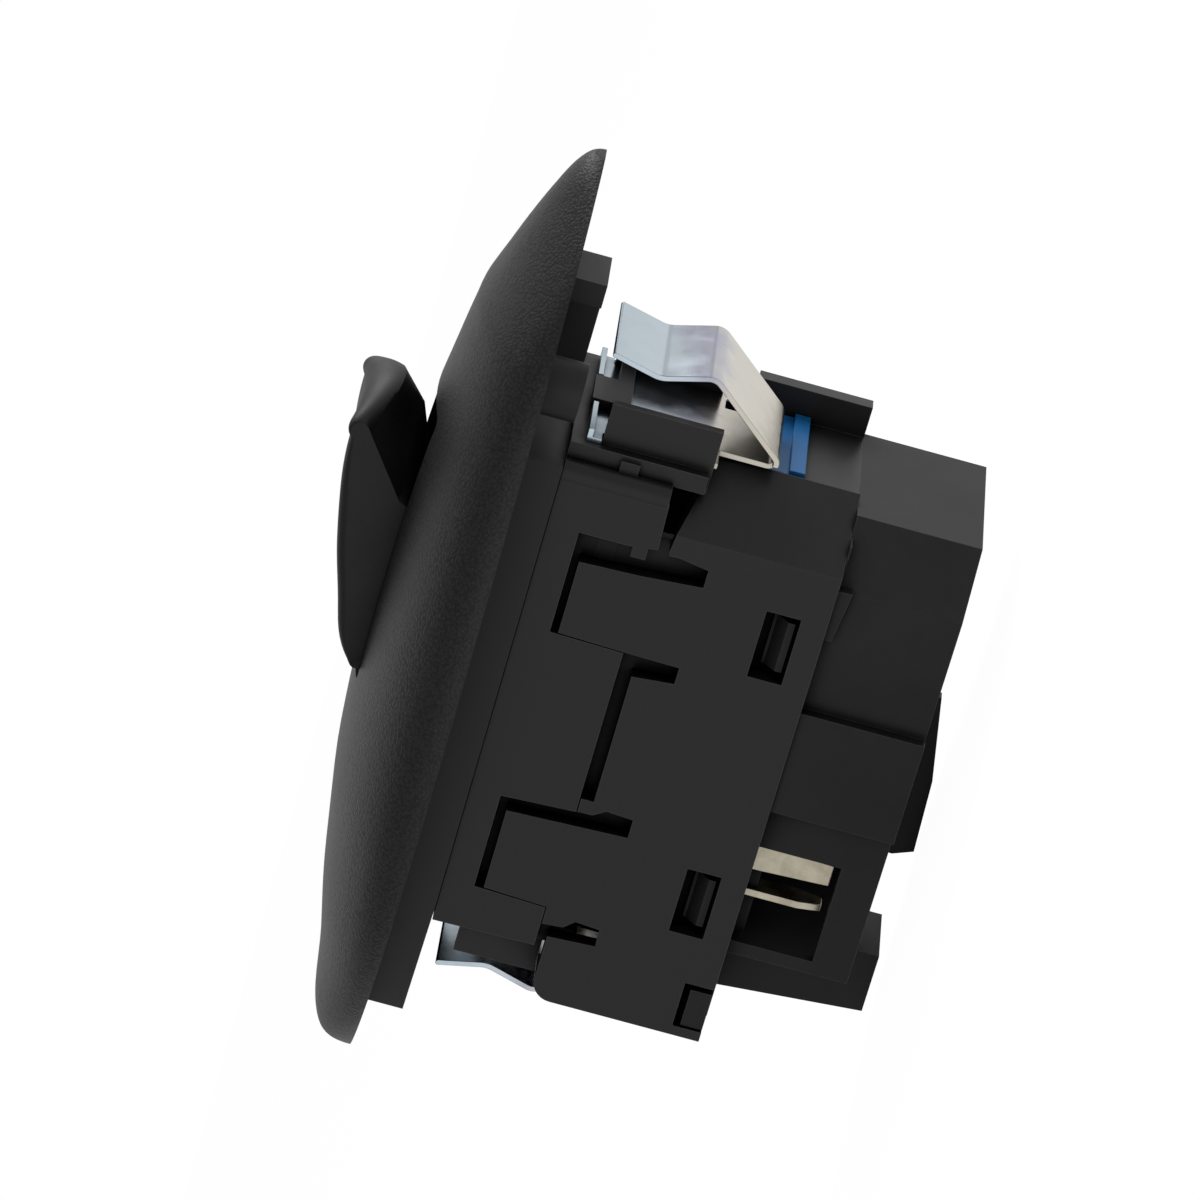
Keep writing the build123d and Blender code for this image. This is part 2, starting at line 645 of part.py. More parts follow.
def make_terminal(number):
    side, kind, x = blade_place(number)
    base_top = plug_top_z + base_thickness
    tip = (blade_width - blade_tip_width) / 2
    if kind == 2:
        y = side * (row_y - blade_width / 2 + blade_thickness / 2)
        half = blade_width / 2
        wire = Wire.make_polygon([Vector(x - blade_thickness / 2, y + a, z) for a, z in
                                  ((-half, base_top + 1.2), (half, base_top + 1.2), (half, blade_end_z + 2.5),
                                   (half - 2 * tip, blade_end_z), (-half + 2 * tip, blade_end_z),
                                   (-half, blade_end_z + 2.5))], close=True)
        return extrude(Face(wire), amount=blade_thickness, dir=(1, 0, 0))
    half = blade_width / 2
    points = [(x - half, base_top + run_height), (x + half, base_top + run_height), (x + half, -36.0),
              (x + half - tip, blade_end_z), (x - half + tip, blade_end_z), (x - half, -36.0)]
    y0 = side * row_y - blade_thickness / 2
    blade = plate_xz(points, y0, y0 + blade_thickness)
    pad_x = pivot_x + (-plunger_arm if kind == 0 else plunger_arm)
    low, high = min(x, pad_x) - bridge_half_width, max(x, pad_x) + bridge_half_width
    run = block(low, high, y0, y0 + blade_thickness, base_top, base_top + run_height)
    pad_top = bridge_top_z - bridge_thickness - contact_height - pad_gap
    riser = block(pad_x - bridge_half_width, pad_x + bridge_half_width, y0, y0 + blade_thickness,
                  base_top, pad_top)
    inner = side * (bridge_half_length - 2 * contact_radius)
    outer = side * (row_y + blade_thickness / 2)
    pad = block(pad_x - bridge_half_width, pad_x + bridge_half_width, min(inner, outer), max(inner, outer),
                pad_top - blade_thickness, pad_top)
    return blade + run + riser + pad


def make_contact_base():
    body = block(base_low_x, base_high_x, -base_half_width, base_half_width, plug_top_z,
                 plug_top_z + base_thickness)
    for number in range(6):
        body = body - blade_cut(number, plug_top_z - 1, plug_top_z + base_thickness + 1)
    rim = block(base_low_x, base_high_x, -base_half_width, base_half_width, plug_top_z, rim_top_z)
    rim = rim - block(base_low_x - 1, base_high_x + 1, -base_half_width + rim_wall, base_half_width - rim_wall,
                      plug_top_z - 1, rim_top_z + 1)
    body = body + rim
    return body


def make_plunger(side):
    x = pivot_x + side * plunger_arm
    head_top = -finger_gap
    rod = rod_z(x, 0, plunger_bottom_z, head_top, plunger_radius)
    head = rod_z(x, 0, head_top - head_thickness, head_top, head_radius)
    return rod + head


def make_return_spring(side):
    x = pivot_x + side * plunger_arm
    radius = plunger_radius + spring_clearance + spring_wire / 2
    low = floor_top_z + spring_wire / 2 + press_gap
    high = -finger_gap - head_thickness - spring_wire / 2 - press_gap
    pitch = (high - low) / spring_turns
    path = Helix(pitch=pitch, height=high - low, radius=radius, center=(x, 0, low))
    start = Plane(origin=path @ 0, z_dir=path % 0)
    return sweep(start * Circle(spring_wire / 2), path=path, is_frenet=True)


def make_contact_bridge(side):
    x = pivot_x + side * plunger_arm
    low = bridge_top_z - bridge_thickness
    bar = block(x - bridge_half_width - 1.2, x + bridge_half_width + 1.2, -3.2, 3.2, low, bridge_top_z)
    bar = bar + block(x - bridge_half_width, x + bridge_half_width, -bridge_half_length, bridge_half_length,
                      low, bridge_top_z)
    for end in (-1, 1):
        y = end * (bridge_half_length - contact_radius - 0.1)
        bar = bar + rod_z(x, y, low - contact_height, low + 0.2, contact_radius)
    return bar - rod_z(x, 0, low - 1, bridge_top_z + 1, plunger_radius + press_gap)


# Folded sheet clip: base plate with two fingers, a fold, and the arm with its crest and valley.
def make_spring_clip(side):
    base_x = carrier_high_x + sheet / 2
    points = [(base_x, finger_left_z - 3 * sheet), (base_x, fold_point_z), arm_crest, arm_valley, arm_tip]
    line = FilletPolyline(*[(x, z) for x, z in points], radius=[fold_radius, 1.6, 3.0])
    arm_face = make_face(offset(line, amount=sheet / 2, kind=Kind.INTERSECTION, side=Side.BOTH))
    arm_face = Plane.XZ.offset(arm_half_width) * arm_face
    arm = extrude(arm_face, amount=2 * arm_half_width, dir=(0, 1, 0))
    low = arm & block(0, 60, -20, 20, -40, base_shoulder_z)
    neck_box = block(carrier_high_x - 1, carrier_high_x + sheet + 0.3, -neck_half_width, neck_half_width,
                     -40, 0)
    outside = block(carrier_high_x + sheet + 0.3, 60, -20, 20, -40, 0)
    arm = (arm & outside) + (arm & neck_box)
    x0, x1 = carrier_high_x, carrier_high_x + sheet
    plate = block(x0, x1, -base_half_span, base_half_span, base_shoulder_z, strap_notch_z - 0.2)
    for edge in (-1, 1):
        y0, y1 = sorted((edge * finger_inner_y, edge * base_half_span))
        root = block(x0, x1, y0, y1, strap_notch_z - 0.5, guard_left_z + guard_gap)
        y0, y1 = sorted((edge * finger_inner_y, edge * finger_half_span))
        finger = block(x0, x1, y0, y1, guard_left_z + guard_gap, finger_left_z)
        lip = block(x0, x1 + 0.9, y0, y1, finger_left_z - sheet, finger_left_z)
        plate = plate + root + finger + lip
    cut = block(x0 - 1, x1 + 1, -finger_inner_y, finger_inner_y, strap_notch_z - 0.2, 0)
    clip = arm + plate - cut
    if side > 0:
        return clip
    return mirror(clip, about=Plane.YZ.offset(clip_centre_x))


def make_terminal_lock():
    inner = body_half_width - body_wall
    x0 = lock_high_x - lock_depth + lock_gap
    body = block(x0, lock_high_x, lock_low_y, min(lock_high_y, inner - lock_gap), lock_right_z, lock_left_z)
    step = block(lock_high_x - lock_step, lock_high_x + 1, lock_low_y - 1, lock_high_y + 1, lock_step_z, 0)
    return body - step


parts = {
    "bezel": make_bezel(),
    "rocker": make_rocker(),
    "rocker_pin": make_rocker_pin(),
    "carrier": make_carrier(),
    "lower_housing": make_lower_housing(),
    "connector_body": make_connector_body(),
    "contact_base": make_contact_base(),
    "plunger_down": make_plunger(1),
    "plunger_up": make_plunger(-1),
    "return_spring_down": make_return_spring(1),
    "return_spring_up": make_return_spring(-1),
    "contact_bridge_down": make_contact_bridge(1),
    "contact_bridge_up": make_contact_bridge(-1),
    "spring_clip_top": make_spring_clip(1),
    "spring_clip_bottom": make_spring_clip(-1),
    "terminal_lock": make_terminal_lock(),
}
for number in range(6):
    parts["terminal_" + str(number + 1)] = make_terminal(number)

os.makedirs("parts", exist_ok=True)
for name, shape in parts.items():
    export_step(shape, "parts/" + name + ".step")
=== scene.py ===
import bmesh
import bpy
from math import radians
from mathutils import Matrix, Vector


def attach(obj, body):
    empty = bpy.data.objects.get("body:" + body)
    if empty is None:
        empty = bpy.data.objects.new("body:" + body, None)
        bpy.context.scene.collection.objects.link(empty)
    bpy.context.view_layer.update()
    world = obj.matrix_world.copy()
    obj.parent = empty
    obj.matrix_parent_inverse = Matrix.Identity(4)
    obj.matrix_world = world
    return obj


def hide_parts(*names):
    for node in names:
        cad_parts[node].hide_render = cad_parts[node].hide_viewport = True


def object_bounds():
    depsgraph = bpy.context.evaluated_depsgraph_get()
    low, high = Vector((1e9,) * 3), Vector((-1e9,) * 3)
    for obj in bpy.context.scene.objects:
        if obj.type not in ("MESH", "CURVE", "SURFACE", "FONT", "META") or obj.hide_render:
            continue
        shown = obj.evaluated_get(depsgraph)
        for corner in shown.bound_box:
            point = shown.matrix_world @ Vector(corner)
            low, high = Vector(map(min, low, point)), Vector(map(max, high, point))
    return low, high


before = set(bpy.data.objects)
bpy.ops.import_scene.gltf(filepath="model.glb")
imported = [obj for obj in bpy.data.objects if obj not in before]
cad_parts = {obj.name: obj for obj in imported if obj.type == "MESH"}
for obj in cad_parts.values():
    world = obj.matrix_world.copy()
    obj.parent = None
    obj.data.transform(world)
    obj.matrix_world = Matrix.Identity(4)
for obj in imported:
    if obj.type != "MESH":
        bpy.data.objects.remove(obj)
cad_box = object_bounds()


# The view: a long lens looks square at the long side of the switch, which is turned so that the
# button points left and the plugs point right, as it was photographed. The display is left plain.
millimetre = 0.001
camera_place = Vector((340.42, -726.40, 28.85)) * millimetre
picture_right = Vector((0.2579266, 0.06435639, -0.96401874))
picture_down = Vector((-0.8707456, -0.41687523, -0.26080098))
ahead = picture_right.cross(picture_down).normalized()
turn = Matrix((picture_right, -picture_down, -ahead)).transposed().to_4x4()
camera_data = bpy.data.cameras.new("camera")
camera_data.sensor_width = 36.0
camera_data.lens = 228.0
camera_data.clip_start = 0.05
camera = bpy.data.objects.new("camera", camera_data)
bpy.context.scene.collection.objects.link(camera)
bpy.context.scene.camera = camera
camera.matrix_world = Matrix.Translation(camera_place) @ turn
bpy.context.scene.view_settings.view_transform = "Standard"


# Table top: a white laminated board just under the switch, which keeps a soft shadow.
# It and the room behind it are seen as plain white, by the camera and in whatever mirrors them.

# Turns an sRGB hex colour to the linear values that the shaders take.
def linear(code):
    parts = [int(code[i:i + 2], 16) / 255 for i in (1, 3, 5)]
    curve = [c / 12.92 if c <= 0.04045 else ((c + 0.055) / 1.055) ** 2.4 for c in parts]
    return (*curve, 1.0)


# Adds a node. Settings are its properties, and inputs give each socket a value or a socket to follow.
# A socket goes by its name, or by i and its number where several have the same name.
def add(tree, kind, settings=None, **inputs):
    node = tree.nodes.new(kind)
    for key, value in (settings or {}).items():
        setattr(node, key, value)
    for key, value in inputs.items():
        name = key.replace("_", " ")
        socket = node.inputs[int(name[1:])] if name[1:].isdigit() else node.inputs[name]
        if isinstance(value, bpy.types.NodeSocket):
            tree.links.new(value, socket)
        else:
            socket.default_value = value
    return node


def new_material(name):
    material = bpy.data.materials.new(name)
    material.use_nodes = True
    material.node_tree.nodes.clear()
    return material, material.node_tree


# Two masks: the rays that see a surface from the camera, straight or through something clear, and the
# rays that see it in a mirror.
def sight(tree):
    path = add(tree, "ShaderNodeLightPath")
    seen = add(tree, "ShaderNodeMath", {"operation": "MAXIMUM"}, i0=path.outputs["Is Camera Ray"],
               i1=path.outputs["Is Transmission Ray"])
    return seen.outputs[0], path.outputs["Is Glossy Ray"]


# White laminate, pressed matt: mostly an even white to the eye, with a little of its shaded face left
# in, so that the shadow under the switch stays visible. The even part glows a touch over white to make
# up for the rest.
white_share = 0.92
white_glow = 1.06
table_top, tree = new_material("white_table_top")
seen, mirrored = sight(tree)
either = add(tree, "ShaderNodeMath", {"operation": "MAXIMUM"}, i0=seen, i1=mirrored)
share = add(tree, "ShaderNodeMath", {"operation": "MULTIPLY"}, i0=either.outputs[0], i1=white_share)
matt = add(tree, "ShaderNodeBsdfDiffuse", Color=linear("#f4f4f4"))
glow = add(tree, "ShaderNodeEmission", Color=linear("#ffffff"), Strength=white_glow)
mix = add(tree, "ShaderNodeMixShader", i0=share.outputs[0], i1=matt.outputs[0], i2=glow.outputs[0])
add(tree, "ShaderNodeOutputMaterial", Surface=mix.outputs[0])

half_width = 3.0
board_z = cad_box[0][2] - 0.2 * millimetre
corners = [(-half_width, -half_width, board_z), (half_width, -half_width, board_z),
           (half_width, half_width, board_z), (-half_width, half_width, board_z)]
floor_mesh = bpy.data.meshes.new("floor")
floor_mesh.from_pydata(corners, [], [(0, 1, 2, 3)])
floor_mesh.materials.append(table_top)
floor = bpy.data.objects.new("floor", floor_mesh)
bpy.context.scene.collection.objects.link(floor)


# The room: white painted walls. They light the switch at a plain level, the camera sees them as white
# paper, and the steel clips mirror the back wall, which fades out towards the front.
room_light = 0.24
back_wall = 0.65
world = bpy.data.worlds.new("white_room")
world.use_nodes = True
bpy.context.scene.world = world
tree = world.node_tree
tree.nodes.clear()
seen, mirrored = sight(tree)
toward = add(tree, "ShaderNodeSeparateXYZ", Vector=add(tree, "ShaderNodeTexCoord").outputs["Generated"])
sweep = add(tree, "ShaderNodeMapRange", {"interpolation_type": "SMOOTHSTEP"}, Value=toward.outputs["Y"],
            From_Min=-0.2, From_Max=0.6)
wall = add(tree, "ShaderNodeMath", {"operation": "MULTIPLY"}, i0=sweep.outputs[0], i1=mirrored)
behind = add(tree, "ShaderNodeMath", {"operation": "MULTIPLY"}, i0=wall.outputs[0], i1=back_wall)
white = add(tree, "ShaderNodeMath", {"operation": "MAXIMUM"}, i0=seen, i1=behind.outputs[0])
room = add(tree, "ShaderNodeBackground", Color=linear("#ffffff"), Strength=room_light)
paper = add(tree, "ShaderNodeBackground", Color=linear("#ffffff"), Strength=1.0)
mix = add(tree, "ShaderNodeMixShader", i0=white.outputs[0], i1=room.outputs[0], i2=paper.outputs[0])
add(tree, "ShaderNodeOutputWorld", Surface=mix.outputs[0])


# Soft boxes, cloth-fronted studio lamps turned to the middle of the switch: two behind the cover that
# rake over its tip and its lower half, and a big one low in front that fills the long side.
# Together they stay at a plain level.
middle = Vector((-5.0, 0.0, -20.0)) * millimetre


# Side says which way from the middle; it is multiplied by the distance. Sizes are in metres.
def soft_box(name, side, distance, size, watts):
    place = middle + Vector(side) * distance
    data = bpy.data.lights.new(name, "AREA")
    data.shape = "RECTANGLE"
    data.size, data.size_y = size
    data.energy = watts
    lamp = bpy.data.objects.new(name, data)
    bpy.context.scene.collection.objects.link(lamp)
    aim = (middle - place).normalized()
    lamp.matrix_world = Matrix.Translation(place) @ aim.to_track_quat("-Z", "Y").to_matrix().to_4x4()


soft_box("box_tip", (0.62, 0.62, 0.48), 0.9, (0.5, 0.5), 5.0)
soft_box("box_cover", (-0.50, 0.50, 0.70), 0.9, (0.6, 0.6), 0.3)
soft_box("box_front", (-0.05, -1.0, 0.12), 1.2, (1.5, 1.1), 4.8)


# Bezel: the grained cover that shows on the door trim, with its skirt and stiffening inside.
# Injection moulded black polypropylene from a leather-grained tool; it clips onto the carrier.

# Finishes one piece: its CAD solid with the triangles of each flat face joined, edges that turn more
# than 28 degrees kept crisp, and corners rounded as the tool leaves them. Roundness is in millimetres,
# and corners that turn less than round_from degrees are left alone.
def finished_piece(node, material, body, roundness, round_from=30.0):
    same_point = 0.004 * millimetre
    same_plane = radians(0.6)
    crisp_from = radians(28.0)
    work = bmesh.new()
    work.from_mesh(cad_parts[node].data)
    bmesh.ops.remove_doubles(work, verts=work.verts, dist=same_point)
    bmesh.ops.dissolve_limit(work, angle_limit=same_plane, verts=work.verts, edges=work.edges)
    for edge in work.edges:
        edge.smooth = edge.calc_face_angle(0.0) < crisp_from
    mesh = bpy.data.meshes.new(node + "_shape")
    work.to_mesh(mesh)
    work.free()
    mesh.polygons.foreach_set("use_smooth", [True] * len(mesh.polygons))
    shape = bpy.data.objects.new(node + "_shape", mesh)
    bpy.context.scene.collection.objects.link(shape)
    if roundness:
        bevel = shape.modifiers.new("edges", "BEVEL")
        bevel.width = roundness * millimetre
        bevel.segments = 2
        bevel.limit_method = "ANGLE"
        bevel.angle_limit = radians(round_from)
        bevel.miter_outer = "MITER_ARC"
        bevel.use_clamp_overlap = True
    flat = shape.modifiers.new("flat_faces", "WEIGHTED_NORMAL")
    flat.keep_sharp = True
    flat.weight = 90
    bpy.context.view_layer.update()
    graph = bpy.context.evaluated_depsgraph_get()
    made = bpy.data.meshes.new_from_object(shape.evaluated_get(graph))
    bpy.data.objects.remove(shape)
    made.name = node + "_finish"
    made.materials.clear()
    made.materials.append(material)
    piece = bpy.data.objects.new(node + "_finish", made)
    bpy.context.scene.collection.objects.link(piece)
    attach(piece, body)
    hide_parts(node)


# Painted shade for slots and hollows, which lose their light: the mask is 1 in the open and sinks to
# darkest where other walls stand within reach, in millimetres. Shut and clear are the shares of open air
# at those two ends.
def painted_recess_shade(tree, reach, shut, clear, darkest):
    closed = add(tree, "ShaderNodeAmbientOcclusion", {"samples": 8}, Distance=reach * millimetre)
    painted_shade = add(tree, "ShaderNodeMapRange", Value=closed.outputs["AO"], From_Min=shut, From_Max=clear,
                To_Min=darkest, To_Max=1.0)
    return painted_shade.outputs[0]


# Polypropylene, moulded against an etched leather grain: flat pebbles 0.35 mm wide and a finer tooth on
# top, with painted shade in the valleys between the pebbles and painted light on their tops. Only the
# outer side of the tool is etched; the skirt and the underside are plain. To the eye it is a soft warm
# black that scatters the light, with painted shade in its hollows. Patterns are given in repeats to the
# millimetre.
per_mm = 1.0 / millimetre
grained, tree = new_material("grained_polypropylene")
place = add(tree, "ShaderNodeTexCoord").outputs["Object"]
normal = add(tree, "ShaderNodeNewGeometry").outputs["Normal"]
height_z = add(tree, "ShaderNodeSeparateXYZ", Vector=place).outputs["Z"]
facing_z = add(tree, "ShaderNodeSeparateXYZ", Vector=normal).outputs["Z"]
above_rim = add(tree, "ShaderNodeMapRange", Value=height_z, From_Min=-0.1 * millimetre,
                From_Max=0.1 * millimetre)
outward = add(tree, "ShaderNodeMapRange", Value=facing_z, From_Min=-0.2, From_Max=0.05)
etched = add(tree, "ShaderNodeMath", {"operation": "MULTIPLY"}, i0=above_rim.outputs[0],
             i1=outward.outputs[0])
wander = add(tree, "ShaderNodeTexNoise", Vector=place, Scale=1.1 * per_mm, Detail=2.0)
shift = add(tree, "ShaderNodeVectorMath", {"operation": "SCALE"}, i0=wander.outputs["Color"],
            Scale=0.3 * millimetre)
bent = add(tree, "ShaderNodeVectorMath", {"operation": "ADD"}, i0=place, i1=shift.outputs[0])
pebbles = add(tree, "ShaderNodeTexVoronoi", {"feature": "SMOOTH_F1"}, Vector=bent.outputs[0],
              Scale=2.9 * per_mm, Smoothness=0.4, Randomness=0.95)
height = add(tree, "ShaderNodeMapRange", Value=pebbles.outputs["Distance"], From_Min=0.15, From_Max=0.75,
             To_Min=1.0, To_Max=0.0)
tooth = add(tree, "ShaderNodeTexNoise", Vector=place, Scale=5.2 * per_mm, Detail=2.0)
relief = add(tree, "ShaderNodeMath", {"operation": "MULTIPLY_ADD"}, i0=tooth.outputs[0], i1=0.3,
             i2=height.outputs[0])
cut = add(tree, "ShaderNodeMath", {"operation": "MULTIPLY"}, i0=relief.outputs[0], i1=etched.outputs[0])
bump = add(tree, "ShaderNodeBump", Strength=0.6, Distance=0.05 * millimetre, Height=cut.outputs[0])
cloud = add(tree, "ShaderNodeTexNoise", Vector=place, Scale=0.06 * per_mm, Detail=3.0)
tone = add(tree, "ShaderNodeMix", {"data_type": "RGBA"}, i0=cloud.outputs[0], i6=linear("#292728"),
           i7=linear("#2e2c2d"))
# Painted light and shade on the grain: valleys darker and pebble tops lighter than the plain tone.
painted_grain_light_and_shade = add(tree, "ShaderNodeMapRange", Value=cut.outputs[0], From_Min=0.2, From_Max=1.1, To_Min=0.66,
             To_Max=1.28)
grain = add(tree, "ShaderNodeMix", {"data_type": "FLOAT"}, i0=etched.outputs[0], i2=1.0,
            i3=painted_grain_light_and_shade.outputs[0])
# Painted shade: the colour sinks in hollows within 4 mm of other walls.
painted_shade_level = add(tree, "ShaderNodeMath", {"operation": "MULTIPLY"}, i0=grain.outputs[0],
            i1=painted_recess_shade(tree, 4.0, 0.15, 0.75, 0.1))
colour = add(tree, "ShaderNodeVectorMath", {"operation": "SCALE"}, i0=tone.outputs[2],
             Scale=painted_shade_level.outputs[0])
gloss = add(tree, "ShaderNodeMapRange", Value=cut.outputs[0], To_Min=0.5, To_Max=0.46)
skin = add(tree, "ShaderNodeBsdfPrincipled", Base_Color=colour.outputs[0], Roughness=gloss.outputs[0],
           IOR=1.49, Specular_IOR_Level=0.25, Normal=bump.outputs[0])
add(tree, "ShaderNodeOutputMaterial", Surface=skin.outputs[0])
finished_piece("bezel", grained, "housing", 0.12, 35.0)


# Rocker: the button itself, a hollow cap with a lip to pull at one end and a plain end to push.
# Moulded black ABS; the steel pin that it turns on runs through its side walls.

# ABS, moulded against a spark-eroded tool: a fine even satin with slightly polished patches about 6 mm
# wide where fingers rub. The tooth is 0.19 mm, coarser than the real one, so that it shows. Painted shade
# turns the side of the rocker nearly black down in the opening and under the lip, in colour and reflection
# both.
satin, tree = new_material("satin_abs")
place = add(tree, "ShaderNodeTexCoord").outputs["Object"]
tooth = add(tree, "ShaderNodeTexNoise", Vector=place, Scale=5.2 * per_mm, Detail=2.0)
wear = add(tree, "ShaderNodeTexNoise", Vector=place, Scale=0.17 * per_mm, Detail=4.0, Roughness=0.6)
bump = add(tree, "ShaderNodeBump", Strength=0.16, Distance=0.02 * millimetre, Height=tooth.outputs[0])
tone = add(tree, "ShaderNodeMix", {"data_type": "RGBA"}, i0=wear.outputs[0], i6=linear("#1c1b1c"),
           i7=linear("#222223"))
gloss = add(tree, "ShaderNodeMapRange", Value=wear.outputs[0], From_Min=0.3, From_Max=0.7, To_Min=0.5,
            To_Max=0.6)
# Painted shade: colour and reflection sink where other walls stand within 16 mm.
painted_shade = painted_recess_shade(tree, 16.0, 0.45, 0.72, 0.1)
colour = add(tree, "ShaderNodeVectorMath", {"operation": "SCALE"}, i0=tone.outputs[2], Scale=painted_shade)
specular_in_painted_shade = add(tree, "ShaderNodeMath", {"operation": "MULTIPLY"}, i0=painted_shade, i1=0.25)
skin = add(tree, "ShaderNodeBsdfPrincipled", Base_Color=colour.outputs[0], Roughness=gloss.outputs[0],
           IOR=1.54, Specular_IOR_Level=specular_in_painted_shade.outputs[0], Normal=bump.outputs[0])
add(tree, "ShaderNodeOutputMaterial", Surface=skin.outputs[0])
finished_piece("rocker", satin, "rocker", 0.15, 35.0)


# Carrier and lower housing: the two black shells that hold the works, locked into each other by the
# tabs on their long walls. Injection moulded glass-filled PBT from a plain machined tool.

# The edges of a moulding or a stamping: a mask with one value on the faces, which turns to another
# within the given width of an edge, in millimetres.
def edge_line(tree, width, on_face, on_edge):
    rounded = add(tree, "ShaderNodeBevel", {"samples": 4}, Radius=width * millimetre)
    face = add(tree, "ShaderNodeNewGeometry").outputs["True Normal"]
    agree = add(tree, "ShaderNodeVectorMath", {"operation": "DOT_PRODUCT"}, i0=rounded.outputs[0], i1=face)
    line = add(tree, "ShaderNodeMapRange", Value=agree.outputs["Value"], From_Min=0.98, From_Max=0.8,
               To_Min=on_face, To_Max=on_edge)
    return line.outputs[0]


# PBT with glass, moulded: a flat dark grey-black with faint flow streaks 4 mm apart and a tooth of
# 0.24 mm, coarser than the real one. Painted shade makes the slots black, and thin painted highlights run
# along the edges, where they catch the light.
painted_edge_highlight = "#565557"
housing, tree = new_material("moulded_pbt")
place = add(tree, "ShaderNodeTexCoord").outputs["Object"]
flow = add(tree, "ShaderNodeMapping", Vector=place, Scale=(0.06 * per_mm, 0.06 * per_mm, 0.26 * per_mm))
streak = add(tree, "ShaderNodeTexNoise", Vector=flow.outputs[0], Scale=1.0, Detail=4.0, Roughness=0.55)
tooth = add(tree, "ShaderNodeTexNoise", Vector=place, Scale=4.2 * per_mm, Detail=2.0)
sink = add(tree, "ShaderNodeTexNoise", Vector=place, Scale=0.11 * per_mm, Detail=2.0)
relief = add(tree, "ShaderNodeMath", {"operation": "MULTIPLY_ADD"}, i0=sink.outputs[0], i1=3.0,
             i2=tooth.outputs[0])
bump = add(tree, "ShaderNodeBump", Strength=0.2, Distance=0.02 * millimetre, Height=relief.outputs[0])
tone = add(tree, "ShaderNodeValToRGB", Fac=streak.outputs[0])
stops = tone.color_ramp.elements
stops[0].position = 0.3
stops[0].color = linear("#222122")
stops[1].position = 0.7
stops[1].color = linear("#282728")
gloss = add(tree, "ShaderNodeMapRange", Value=streak.outputs[0], From_Min=0.3, From_Max=0.7, To_Min=0.34,
            To_Max=0.46)
# Painted highlight: a lighter line within 0.16 mm of each edge.
edge_highlighted = add(tree, "ShaderNodeMix", {"data_type": "RGBA"}, i0=edge_line(tree, 0.16, 0.0, 1.0),
             i6=tone.outputs[0], i7=linear(painted_edge_highlight))
# Painted shade: colour and reflection sink in slots and hollows.
painted_shade = painted_recess_shade(tree, 5.0, 0.25, 0.8, 0.06)
colour = add(tree, "ShaderNodeVectorMath", {"operation": "SCALE"}, i0=edge_highlighted.outputs[2], Scale=painted_shade)
specular_in_painted_shade = add(tree, "ShaderNodeMath", {"operation": "MULTIPLY"}, i0=painted_shade, i1=0.25)
skin = add(tree, "ShaderNodeBsdfPrincipled", Base_Color=colour.outputs[0], Roughness=gloss.outputs[0],
           IOR=1.5, Specular_IOR_Level=specular_in_painted_shade.outputs[0], Normal=bump.outputs[0])
add(tree, "ShaderNodeOutputMaterial", Surface=skin.outputs[0])
finished_piece("carrier", housing, "housing", 0.13)
finished_piece("lower_housing", housing, "housing", 0.13)


# Connector body and contact base: the plug shrouds, pushed into the lower housing until their hooks
# snap, and the plate inside that the blades are pressed into. Both are moulded black PBT.

# PBT, moulded in a polished tool: a little greyer than the housing, with soft patches about 8 mm wide
# and hardly any tooth, drawn at 0.26 mm. It has the same painted shade in its hollows and painted
# highlights along its edges.
shroud, tree = new_material("polished_pbt")
place = add(tree, "ShaderNodeTexCoord").outputs["Object"]
patch = add(tree, "ShaderNodeTexNoise", Vector=place, Scale=0.13 * per_mm, Detail=5.0, Roughness=0.55)
tooth = add(tree, "ShaderNodeTexNoise", Vector=place, Scale=3.8 * per_mm, Detail=2.0)
bump = add(tree, "ShaderNodeBump", Strength=0.18, Distance=0.02 * millimetre, Height=tooth.outputs[0])
tone = add(tree, "ShaderNodeValToRGB", Fac=patch.outputs[0])
stops = tone.color_ramp.elements
stops[0].position = 0.3
stops[0].color = linear("#2f2e2f")
stops[1].position = 0.7
stops[1].color = linear("#353435")
gloss = add(tree, "ShaderNodeMapRange", Value=patch.outputs[0], From_Min=0.3, From_Max=0.7, To_Min=0.3,
            To_Max=0.42)
# Painted highlight: a lighter line within 0.16 mm of each edge.
edge_highlighted = add(tree, "ShaderNodeMix", {"data_type": "RGBA"}, i0=edge_line(tree, 0.16, 0.0, 1.0),
             i6=tone.outputs[0], i7=linear(painted_edge_highlight))
# Painted shade: colour and reflection sink in slots and hollows.
painted_shade = painted_recess_shade(tree, 5.0, 0.25, 0.8, 0.06)
colour = add(tree, "ShaderNodeVectorMath", {"operation": "SCALE"}, i0=edge_highlighted.outputs[2], Scale=painted_shade)
specular_in_painted_shade = add(tree, "ShaderNodeMath", {"operation": "MULTIPLY"}, i0=painted_shade, i1=0.08)
skin = add(tree, "ShaderNodeBsdfPrincipled", Base_Color=colour.outputs[0], Roughness=gloss.outputs[0],
           IOR=1.5, Specular_IOR_Level=specular_in_painted_shade.outputs[0], Normal=bump.outputs[0])
add(tree, "ShaderNodeOutputMaterial", Surface=skin.outputs[0])
finished_piece("connector_body", shroud, "housing", 0.13)
finished_piece("contact_base", shroud, "housing", 0.1)


# Plungers: the two white rods that carry the rocker's push to the contacts.
# Moulded acetal, slippery enough to slide in the carrier's bosses without grease.

